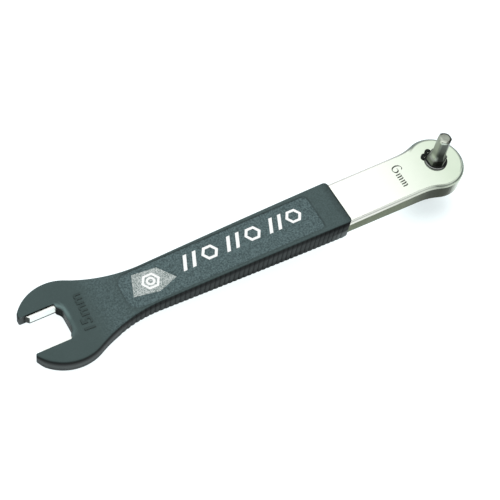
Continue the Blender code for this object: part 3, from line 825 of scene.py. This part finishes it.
def plate_surface(x, y):
    """Height of the plate's upper face over the bare shank: a straight taper from the head."""
    return HEAD_THICKNESS / 2.0 - TAPER * np.clip(-x, 0.0, GRIP_START)


def printed(name, shapes, material, proud=0.045):
    """Ink on the field: each shape is a band between an outer and an inner closed outline.

    The band's upper side lies proud of the surface and its lower side as far below it."""
    grids = []
    for outer, inner in shapes:
        rows = []
        for line, lift in ((outer, proud), (inner, proud), (inner, -proud), (outer, -proud),
                           (outer, proud)):
            line = np.vstack((line, line[:1]))
            rows.append(np.column_stack((line, grip_surface(line[:, 0], line[:, 1]) + lift)))
        grids.append((np.stack(rows), False))
    return finish(solid(name, grids, sharp=30.0), "moulded_rubber", material)


def polygon(points, shrink=0.02):
    """A closed outline and the same one drawn in to a share of its size about its middle."""
    points = np.array(points, float)
    middle = points.mean(axis=0)
    return points, middle + (points - middle) * shrink


def ellipse(x, y, half_length, half_width, sides):
    """Corners at equal angles on an ellipse."""
    angle = np.radians(np.arange(0.0, 360.0, 360.0 / sides))
    return np.column_stack((x + half_length * np.cos(angle), y + half_width * np.sin(angle)))


# ---- materials ----

def linear(code):
    """Linear colour from an sRGB hex code."""
    value = np.array([int(code[i:i + 2], 16) for i in (1, 3, 5)]) / 255.0
    value = np.where(value <= 0.04045, value / 12.92, ((value + 0.055) / 1.055) ** 2.4)
    return (*value.tolist(), 1.0)


def scale_for(size):
    """Scale of a texture whose pattern has this size in millimetres."""
    return 1.0 / (size * MM)


def join(tree, node, inputs):
    """Fills a node's inputs: a socket, or a node's first live output, is linked; a hex code is
    set as a linear colour, any other value as it is."""
    for key, value in inputs.items():
        if isinstance(value, str):
            value = linear(value)
        if isinstance(value, bpy.types.Node):
            value = next(output for output in value.outputs if output.enabled)
        if isinstance(value, bpy.types.NodeSocket):
            tree.links.new(value, node.inputs[key])
        else:
            node.inputs[key].default_value = value


def add(tree, kind, inputs=None, **settings):
    """One node with its settings and links."""
    made = tree.nodes.new("ShaderNode" + kind)
    for name, value in settings.items():
        setattr(made, name, value)
    join(tree, made, inputs or {})
    return made


def new_material(name, metallic=0.0):
    """Material with its Principled shader, its output and the place on the object."""
    material = bpy.data.materials.new(name)
    material.use_nodes = True
    tree = material.node_tree
    shader = tree.nodes["Principled BSDF"]
    shader.inputs["Metallic"].default_value = metallic
    return material, tree, shader, add(tree, "TexCoord").outputs["Object"]


def skin_of(tree, shader, colour, grain, rough, strength, relief, height=None):
    """Last nodes of a material: its colour, roughness between two values that follows a grain,
    and fine relief (millimetres) from the same grain or from another height."""
    low, high = rough
    roughness = add(tree, "MapRange", {"Value": grain, "To Min": low, "To Max": high})
    bump = add(tree, "Bump", {"Strength": strength, "Distance": relief * MM,
                              "Height": height or grain})
    join(tree, shader, {"Base Color": colour, "Roughness": roughness, "Normal": bump})


def uprightness(tree):
    """How far a face turns to the tool's upper side: 1 on top, 0 on the walls."""
    facing = add(tree, "NewGeometry").outputs["True Normal"]
    return add(tree, "VectorMath", {0: facing, 1: TOOL_UP}, operation="DOT_PRODUCT")


def on_jaw_side(tree, place):
    """1 on the steel of the jaw, 0 on the bare shank and head."""
    along_x = add(tree, "SeparateXYZ", {0: place})
    return add(tree, "Math", {0: along_x, 1: JAW_SIDE}, operation="LESS_THAN")


def moulded_rubber():
    """Soft moulded TPE: a grey-green black, matt, with a spark-eroded grain on the field and
    neutral grey on the walls; the painted light and shade on its points scale the colour. The real
    grain is finer than a pixel, so it is drawn 0.8 mm wide to show."""
    material, tree, shader, place = new_material("moulded_rubber")
    gloss, grained, shade = (add(tree, "Attribute", attribute_name=name).outputs["Fac"]
                             for name in ("gloss", "grain", "shade"))
    shine = add(tree, "MapRange", {"Value": gloss, "To Min": 0.01, "To Max": 0.16})
    join(tree, shader, {"Specular IOR Level": shine})
    cloud = add(tree, "TexNoise", {"Vector": place, "Scale": scale_for(14.286), "Detail": 3.0})
    grain = add(tree, "TexNoise", {"Vector": place, "Scale": scale_for(0.8), "Detail": 4.0,
                                   "Roughness": 0.7})
    smooth = add(tree, "Mix", {0: cloud, 6: "#3E4D4C", 7: "#495857"}, data_type="RGBA")
    speck = add(tree, "MapRange", {"Value": grain, "From Min": 0.38, "From Max": 0.64})
    pebble = add(tree, "Mix", {0: speck, 6: "#3C4B4C", 7: "#637779"}, data_type="RGBA")
    face = add(tree, "Mix", {0: grained, 6: smooth, 7: pebble}, data_type="RGBA")
    upper = add(tree, "MapRange", {"Value": uprightness(tree), "From Min": 0.35, "From Max": 0.75})
    wear_and_painted_light = add(tree, "Mix", {0: cloud, 6: "#484C4C", 7: "#545858"}, data_type="RGBA")
    face_and_wall_colour = add(tree, "Mix", {0: upper, 6: wear_and_painted_light, 7: face}, data_type="RGBA")
    # Painted light and shade: the colour is scaled by the shade stored on the points
    colour = add(tree, "Mix", {0: shade, 6: "#000000", 7: face_and_wall_colour}, data_type="RGBA",
                 clamp_factor=False)
    height = add(tree, "Math", {0: grain, 1: grained}, operation="MULTIPLY")
    skin_of(tree, shader, colour, grain, (0.55, 0.72), 0.5, 0.1, height)
    return material


def satin_nickel():
    """Nickel plating over steel finished by grinding: pale metal with a soft satin reflection.
    Painted shade darkens the head's far rim and a line round its chamfer, a painted contact shadow
    runs along the jaw's foot, and a painted highlight makes the shank paler towards the grip and
    the jaw's steel near-white. The real grinding lines are finer than a pixel, so they are drawn
    0.4 mm apart."""
    material, tree, shader, place = new_material("satin_nickel", metallic=1.0)
    cloud = add(tree, "TexNoise", {"Vector": place, "Scale": scale_for(22.222), "Detail": 4.0})
    lines = (scale_for(16.667), scale_for(0.4), scale_for(0.4))
    stretch = add(tree, "Mapping", {"Vector": place, "Scale": lines})
    brush = add(tree, "TexNoise", {"Vector": stretch, "Scale": 1.0, "Detail": 3.0})
    upright = uprightness(tree)

    # Steel of the jaw: near-white as a painted highlight, with a painted contact shadow at the foot
    # of its walls
    level = add(tree, "VectorMath", {0: place, 1: TOOL_UP}, operation="DOT_PRODUCT")
    foot = add(tree, "Math", {0: level, 1: TOOL_LEVEL - 1.5 * MM}, operation="LESS_THAN")
    side = add(tree, "Math", {0: upright, 1: 0.0, 2: 0.3}, operation="COMPARE")
    painted_contact_shadow = add(tree, "Math", {0: foot, 1: side}, operation="MULTIPLY")
    jaw = add(tree, "Mix", {0: painted_contact_shadow, 6: "#FAFFFA", 7: "#1E211E"}, data_type="RGBA")

    # Painted shade on the far rim of the head's face
    from_bit = add(tree, "VectorMath", {0: place, 1: HEAD_CENTRE}, operation="SUBTRACT")
    reach = add(tree, "VectorMath", {0: from_bit}, operation="LENGTH")
    rim = add(tree, "MapRange", {"Value": reach, "From Min": 11.8 * MM, "From Max": 12.5 * MM})
    toward = add(tree, "VectorMath", {0: from_bit, 1: (64.0, 48.0, 0.0)}, operation="DOT_PRODUCT")
    far = add(tree, "MapRange", {"Value": toward, "From Min": -0.05, "From Max": 0.2,
                                 "To Max": 0.8})
    on_top = add(tree, "Math", {0: upright, 1: 0.9}, operation="GREATER_THAN")
    top_rim = add(tree, "Math", {0: rim, 1: on_top}, operation="MULTIPLY")
    far_rim = add(tree, "Math", {0: top_rim, 1: far}, operation="MULTIPLY")

    # Chamfer: a line of painted shade round the head that fades towards the shank, and a thin dark
    # line along the chamfer
    sloping = add(tree, "Math", {0: upright, 1: 0.7, 2: 0.2}, operation="COMPARE")
    band = add(tree, "Math", {0: reach, 1: 13.3 * MM, 2: 0.4 * MM}, operation="COMPARE")
    facing = add(tree, "NewGeometry").outputs["True Normal"]
    outward = add(tree, "SeparateXYZ", {0: facing})
    endward = add(tree, "MapRange", {"Value": outward, "From Min": -0.05, "From Max": 0.35,
                                     "To Min": 0.3, "To Max": 0.9})
    slant = add(tree, "VectorMath", {0: place, 1: PLATE_SLANT}, operation="DOT_PRODUCT")
    chamfer_line = add(tree, "Math", {0: slant, 1: CHAMFER_LINE_LEVEL, 2: 0.13 * MM}, operation="COMPARE")
    line_strength = add(tree, "Math", {0: chamfer_line, 1: 0.4, 2: 0.12}, operation="MULTIPLY_ADD")
    stripe = add(tree, "Math", {0: band, 1: endward, 2: line_strength}, operation="MULTIPLY_ADD")
    line = add(tree, "Math", {0: sloping, 1: stripe}, operation="MULTIPLY")
    painted_shade = add(tree, "Math", {0: far_rim, 1: line}, operation="MAXIMUM")

    # Shank and head: paler towards the grip, a painted highlight
    ground_and_painted_sheen = add(tree, "Mix", {0: cloud, 6: "#CAD8C5", 7: "#D7E4D1"}, data_type="RGBA")
    along_x = add(tree, "SeparateXYZ", {0: place})
    bright = add(tree, "MapRange", {"Value": along_x, "From Min": 57.0 * MM, "From Max": 100.0 * MM,
                                    "To Min": 1.0, "To Max": 0.0})
    shank = add(tree, "Mix", {0: bright, 6: ground_and_painted_sheen, 7: "#FBFFF7"}, data_type="RGBA")
    face = add(tree, "Mix", {0: painted_shade, 6: shank, 7: "#5A625C"}, data_type="RGBA")
    colour = add(tree, "Mix", {0: on_jaw_side(tree, place), 6: face, 7: jaw}, data_type="RGBA")
    skin_of(tree, shader, colour, brush, (0.32, 0.44), 0.12, 0.02)
    return material


def forged_edge():
    """Plated but unground forging skin on the side walls: olive and darker than the faces, partly
    as painted shade, with pits about 0.9 mm wide, darker where the shank meets the head, and lit
    bright round the head's end by a painted reflection."""
    material, tree, shader, place = new_material("forged_edge", metallic=1.0)
    waist = (0.0895, -0.0128, 0.0203)
    pits = add(tree, "TexNoise", {"Vector": place, "Scale": scale_for(0.90909), "Detail": 4.0})
    cloud = add(tree, "TexNoise", {"Vector": place, "Scale": scale_for(8.3333), "Detail": 2.0})
    # Olive, darker than the faces: the forging skin, partly painted shade
    olive = add(tree, "Mix", {0: cloud, 6: "#5F654F", 7: "#6F755F"}, data_type="RGBA")
    from_waist = add(tree, "VectorMath", {0: place, 1: waist}, operation="DISTANCE")
    darker_at_waist = add(tree, "MapRange", {"Value": from_waist, "From Min": 4.0 * MM,
                                     "From Max": 18.0 * MM, "To Min": 0.9, "To Max": 0.0})
    dark = add(tree, "Mix", {0: darker_at_waist, 6: olive, 7: "#30332A"}, data_type="RGBA")
    # Painted reflection: bright where the wall turns to the head's end
    facing = add(tree, "NewGeometry").outputs["True Normal"]
    outward = add(tree, "SeparateXYZ", {0: facing})
    ground_and_painted_sheen = add(tree, "MapRange", {"Value": outward, "From Max": 0.4})
    colour = add(tree, "Mix", {0: ground_and_painted_sheen, 6: dark, 7: "#E6E8DE"}, data_type="RGBA")
    skin_of(tree, shader, colour, pits, (0.35, 0.55), 0.25, 0.03)
    return material


def edge_wear_and_painted_light():
    """Thin rolled edges of the plate: dull dark grey as painted shade, with wear 2.5 mm wide; on
    the jaw a painted highlight makes the upper rims near-white and a painted contact shadow darkens
    the others."""
    material, tree, shader, place = new_material("edge_wear_and_painted_light", metallic=1.0)
    at_jaw = on_jaw_side(tree, place)
    upper = add(tree, "Math", {0: uprightness(tree), 1: 0.2}, operation="GREATER_THAN")
    # Painted highlight: the upper rims of the jaw are near-white
    painted_light_on_rims = add(tree, "Math", {0: at_jaw, 1: upper}, operation="MULTIPLY")
    wear = add(tree, "TexNoise", {"Vector": place, "Scale": scale_for(2.5), "Detail": 3.0})
    # Painted shade: the edges are dull dark grey, broken by wear
    dull = add(tree, "Mix", {0: wear, 6: "#20241F", 7: "#4A5046"}, data_type="RGBA")
    # Painted contact shadow on the jaw's other rims
    under = add(tree, "Mix", {0: at_jaw, 6: dull, 7: "#262A26"}, data_type="RGBA")
    colour = add(tree, "Mix", {0: painted_light_on_rims, 6: under, 7: "#E9F2E5"}, data_type="RGBA")
    skin_of(tree, shader, colour, wear, (0.3, 0.5), 0.2, 0.02)
    return material


def rolled_edge():
    """Chamfer on the far side: bright along the shank, and darkened round the head by painted
    shade, broken in spots 2 mm wide."""
    material, tree, shader, place = new_material("rolled_edge", metallic=1.0)
    # Painted shade that darkens the chamfer round the head
    painted_shade = add(tree, "MapRange", {"Value": add(tree, "SeparateXYZ", {0: place}),
                                     "From Min": (TOOL_PLACE[0] - 24.0) * MM,
                                     "From Max": (TOOL_PLACE[0] - 4.0) * MM})
    spots = add(tree, "TexNoise", {"Vector": place, "Scale": scale_for(2.0), "Detail": 3.0})
    dark = add(tree, "Mix", {0: spots, 6: "#525C54", 7: "#6E7870"}, data_type="RGBA")
    colour = add(tree, "Mix", {0: painted_shade, 6: "#C9C4BE", 7: dark}, data_type="RGBA")
    skin_of(tree, shader, colour, spots, (0.3, 0.5), 0.2, 0.02)
    return material


def tool_steel():
    """Drawn hexagonal tool steel: grey metal, darkened and lightened by the painted shade and
    highlights in its tone. The real drawing lines are finer than a pixel, so they are drawn 0.4 mm
    apart along it."""
    material, tree, shader, place = new_material("tool_steel", metallic=1.0)
    tone = add(tree, "Attribute", attribute_name="tone").outputs["Fac"]
    lines = (scale_for(0.41667), scale_for(0.41667), scale_for(6.6667))
    stretch = add(tree, "Mapping", {"Vector": place, "Scale": lines})
    draw = add(tree, "TexNoise", {"Vector": stretch, "Scale": 1.0, "Detail": 3.0})
    steel = add(tree, "Mix", {0: draw, 6: "#868C82", 7: "#A2A89D"}, data_type="RGBA")
    colour = add(tree, "Mix", {0: tone, 6: "#000000", 7: steel}, data_type="RGBA",
                 clamp_factor=False)
    skin_of(tree, shader, colour, draw, (0.24, 0.42), 0.2, 0.02)
    return material


def black_oxide():
    """Black-oxided spring steel: nearly black with an oily half gloss in clouds 1.1 mm wide, and a
    painted highlight in a thin bright line along the outer edge on the side of the jaw."""
    material, tree, shader, place = new_material("black_oxide", metallic=0.5)
    shader.inputs["Specular IOR Level"].default_value = 0.12
    cloud = add(tree, "TexNoise", {"Vector": place, "Scale": scale_for(1.1111), "Detail": 3.0})
    oxide = add(tree, "Mix", {0: cloud, 6: "#101211", 7: "#1F2221"}, data_type="RGBA")
    # Painted highlight in a thin line along the outer edge, on the side of the jaw
    from_bit = add(tree, "VectorMath", {0: place, 1: HEAD_CENTRE}, operation="SUBTRACT")
    reach = add(tree, "VectorMath", {0: from_bit}, operation="LENGTH")
    edge = add(tree, "Math", {0: reach, 1: 5.3 * MM, 2: 0.2 * MM}, operation="COMPARE")
    jawward = add(tree, "VectorMath", {0: from_bit, 1: (-140.0, -115.0, 0.0)},
                  operation="DOT_PRODUCT")
    share = add(tree, "MapRange", {"Value": jawward, "From Min": 0.4, "From Max": 0.75})
    wear_and_painted_light = add(tree, "Math", {0: edge, 1: share}, operation="MULTIPLY")
    colour = add(tree, "Mix", {0: wear_and_painted_light, 6: oxide, 7: "#A9AEAA"}, data_type="RGBA")
    skin_of(tree, shader, colour, cloud, (0.28, 0.5), 0.15, 0.03)
    return material


def mark(name, dark, light, grit, low, high):
    """Ink or stamped mark: one colour broken by its own fine speckle (grit in millimetres)."""
    material, tree, shader, place = new_material(name)
    speck = add(tree, "TexNoise", {"Vector": place, "Scale": scale_for(grit), "Detail": 3.0})
    share = add(tree, "MapRange", {"Value": speck, "From Min": low, "From Max": high})
    colour = add(tree, "Mix", {0: share, 6: dark, 7: light}, data_type="RGBA")
    skin_of(tree, shader, colour, speck, (0.45, 0.65), 0.2, 0.02)
    return material


# ---- the tool ----

rubber = moulded_rubber()
make_grip(rubber)
make_plate(satin_nickel(), forged_edge(), edge_wear_and_painted_light(), rolled_edge())
bit = make_hex_bit(tool_steel())
circlip = merged_copy("circlip", "retaining_ring", edge=0.12)
finish(circlip, "black_oxide", black_oxide(), stands_for="retaining_ring")

# The satin plate shows no mirror image of the bit and its ring
bit.visible_glossy = False
circlip.visible_glossy = False

# Size mark by the bit: strokes of a pen, each point with its place and the pen's width
SIX = [(3.3, 4.4, 0.3), (2.75, 4.8, 0.6), (2.3, 5.2, 0.2), (1.4, 4.9, 0.25), (0.65, 4.0, 0.7),
       (0.35, 2.7, 0.75), (0.6, 1.3, 0.8), (1.3, 0.35, 0.6), (2.3, 0.15, 0.3), (3.4, 0.7, 0.6),
       (3.75, 1.6, 0.85), (3.3, 2.6, 0.75), (2.4, 2.95, 0.25), (1.5, 2.6, 0.15)]
FIRST_STEM = [(-0.3, 2.45, 0.15), (0.1, 2.6, 0.6), (0.2, 1.4, 0.75), (0.25, 0.2, 0.6),
              (0.5, 0.05, 0.2)]
NEXT_STEM = [(-0.85, 2.1, 0.15), (-0.3, 2.75, 0.35), (0.1, 2.4, 0.7), (0.2, 1.3, 0.8),
             (0.2, 0.25, 0.65), (0.5, 0.05, 0.2)]
strokes = [SIX]
for left in (4.85, 8.75):
    for shift, stem in ((0.0, FIRST_STEM), (1.3, NEXT_STEM), (2.6, NEXT_STEM)):
        strokes.append([(left + shift + x, y, width) for x, y, width in stem])
stamp = mark("stamped_mark", "#23251F", "#4A4D44", grit=0.5, low=0.4, high=0.7)
pen_strokes("size_small", strokes, corner=(-21.3, 6.5), up=(1.0, 0.0), surface=plate_surface,
            material=stamp, slot="nickel_plate")

# Size mark by the jaw: raised letters of the same rubber
lettering("size_jaw", "15mm", size=(17.6, 4.9), centre=(-180.7, 0.5), up=(-1.0, 0.059),
          thickness=0.5, surface=grip_surface, material=rubber, slot="moulded_rubber")

# Generic print: slanted bars and nuts in white, over a stippled grey patch
PRINT_Y = 2.2
BAR_LEAN, BAR_WIDTH, BAR_RISE = 1.6, 1.7, 3.6
NUT_RADIUS, NUT_SQUASH, NUT_HOLE = 4.1, 0.92, 0.64
BADGE = (-148.5, 0.8)
ink = mark("white_ink", "#EDF2F0", "#FBFDFC", grit=0.4, low=0.2, high=0.5)
stipple = mark("grey_stipple", "#6F7E7B", "#C3CBC9", grit=0.45, low=0.42, high=0.56)
bars = [polygon([(x - BAR_LEAN, PRINT_Y - BAR_RISE),
                 (x + BAR_WIDTH - BAR_LEAN, PRINT_Y - BAR_RISE),
                 (x + BAR_WIDTH + BAR_LEAN, PRINT_Y + BAR_RISE),
                 (x + BAR_LEAN, PRINT_Y + BAR_RISE)])
        for x in (-132.0, -127.5, -110.5, -106.0, -89.0, -84.5)]
nuts = [polygon(ellipse(x, PRINT_Y, NUT_RADIUS, NUT_RADIUS * NUT_SQUASH, 6), NUT_HOLE)
        for x in (-119.0, -97.5, -76.5)]
printed("white_print", bars + nuts, ink)
patch = [(-158.5, -3.0), (-147.0, -5.3), (-137.6, -2.2), (-143.3, 5.7), (-154.6, 7.0)]
printed("grey_print", [polygon(patch)], stipple, 0.03)
badge = [polygon(ellipse(*BADGE, 4.4, 4.1, 6), 0.72), polygon(ellipse(*BADGE, 2.1, 2.0, 24), 0.5)]
printed("white_badge", badge, ink, 0.06)

# ---- studio ----

scene = bpy.context.scene
scene.view_settings.view_transform = "Standard"

# Floor: pale and self-lit to the camera and to metal, with a painted shadow that darkens it a
# little by the head
floor_material, tree, shader, place = new_material("pale_floor")
seen = add(tree, "LightPath")
shown = add(tree, "Math", {0: seen.outputs["Is Camera Ray"], 1: seen.outputs["Is Glossy Ray"]},
            operation="MAXIMUM")
# Painted shadow of the head on the floor
spot = add(tree, "Mapping", {"Vector": place, "Scale": (60.0, 95.0, 0.0),
                             "Location": (-5.8, 0.55, 0.0)})
away = add(tree, "VectorMath", {0: spot}, operation="LENGTH")
painted_head_shadow = add(tree, "MapRange", {"Value": away, "From Min": 0.3, "From Max": 1.5, "To Min": 0.66,
                              "To Max": 0.96}, interpolation_type="SMOOTHSTEP")
glow = add(tree, "Math", {0: shown, 1: painted_head_shadow}, operation="MULTIPLY")
bounce = add(tree, "Math", {0: seen.outputs["Is Diffuse Ray"], 1: 0.3, 2: glow},
             operation="MULTIPLY_ADD")
join(tree, shader, {"Base Color": "#98A0A2", "Roughness": 0.9, "Emission Strength": bounce,
                    "Emission Color": "#F6FDFF"})
FLOOR_HALF = 3.0
floor_mesh = bpy.data.meshes.new("floor")
corners = [(x * FLOOR_HALF, y * FLOOR_HALF, 0.0) for x, y in ((-1, -1), (1, -1), (1, 1), (-1, 1))]
floor_mesh.from_pydata(corners, [], [(0, 1, 2, 3)])
floor_mesh.materials.append(floor_material)
floor = set_in_scene("floor", floor_mesh)

# World: white to the camera; to metal a pale room with a dark flag and a bright key card; to
# matt surfaces a sky that is brighter overhead
world = bpy.data.worlds.new("studio")
scene.world = world
world.use_nodes = True
tree = world.node_tree
path = add(tree, "LightPath")
direction = add(tree, "TexCoord").outputs["Generated"]
overhead = add(tree, "SeparateXYZ", {0: direction}).outputs["Z"]
sky = add(tree, "MapRange", {"Value": overhead, "From Min": 0.0, "From Max": 0.9, "To Min": 0.13,
                             "To Max": 0.84})
to_flag = add(tree, "VectorMath", {0: direction, 1: (-0.2, -0.49, 0.85)}, operation="DOT_PRODUCT")
flag = add(tree, "MapRange", {"Value": to_flag, "From Min": 0.74, "From Max": 0.93, "To Min": 1.12,
                              "To Max": 0.06}, interpolation_type="SMOOTHSTEP")
to_key = add(tree, "VectorMath", {0: direction, 1: (0.249, 0.398, 0.883)}, operation="DOT_PRODUCT")
key_card = add(tree, "MapRange", {"Value": to_key, "From Min": 0.975, "From Max": 0.998,
                                  "To Max": 0.5}, interpolation_type="SMOOTHSTEP")
room = add(tree, "Math", {0: flag, 1: key_card}, operation="ADD")
unseen = add(tree, "Mix", {0: path.outputs["Is Glossy Ray"], 2: sky, 3: room})
strength = add(tree, "Mix", {0: path.outputs["Is Camera Ray"], 2: unseen, 3: 1.0})
join(tree, tree.nodes["Background"], {"Color": (1.0, 1.0, 1.0, 1.0), "Strength": strength})

# Key light: a softbox high behind the tool (metres, watts)
KEY_PLACE = Vector((0.16, 0.62, 0.95))
lamp = bpy.data.lights.new("key_softbox", "AREA")
lamp.shape = "SQUARE"
lamp.size = 0.8
lamp.energy = 7.2
key_light = set_in_scene("key_softbox", lamp)
key_light.location = KEY_PLACE
key_light.rotation_euler = (-KEY_PLACE).to_track_quat("-Z", "Y").to_euler()
key_light.visible_glossy = False

# Camera: a rotation vector and a shift that take tool-frame points, measured from the plate's
# upper side, to the camera's right, down and forward axes in millimetres
FOCAL_PIXELS = 1332.79
IMAGE_PIXELS = 500.0
CAMERA_TURN = Vector((2.5323474, -0.6297981, 0.3537222))
CAMERA_SHIFT = Vector((85.755851, -40.343251, 618.850298))
CAMERA_DATUM = 3.6
turn_in = Matrix.Rotation(CAMERA_TURN.length, 3, CAMERA_TURN.normalized())
eye = -(turn_in.transposed() @ CAMERA_SHIFT) + Vector((0.0, 0.0, CAMERA_DATUM))
lay = Matrix.Rotation(-TILT, 3, "Y")
pose = (lay @ turn_in.transposed() @ Matrix.Diagonal((1.0, -1.0, -1.0))).to_4x4()
pose.translation = (lay @ eye + Vector(TOOL_PLACE)) * MM
lens = bpy.data.cameras.new("camera")
lens.sensor_width = 36.0
lens.lens = FOCAL_PIXELS / IMAGE_PIXELS * lens.sensor_width
lens.clip_start = 0.01
camera = set_in_scene("camera", lens)
camera.matrix_world = pose
scene.camera = camera
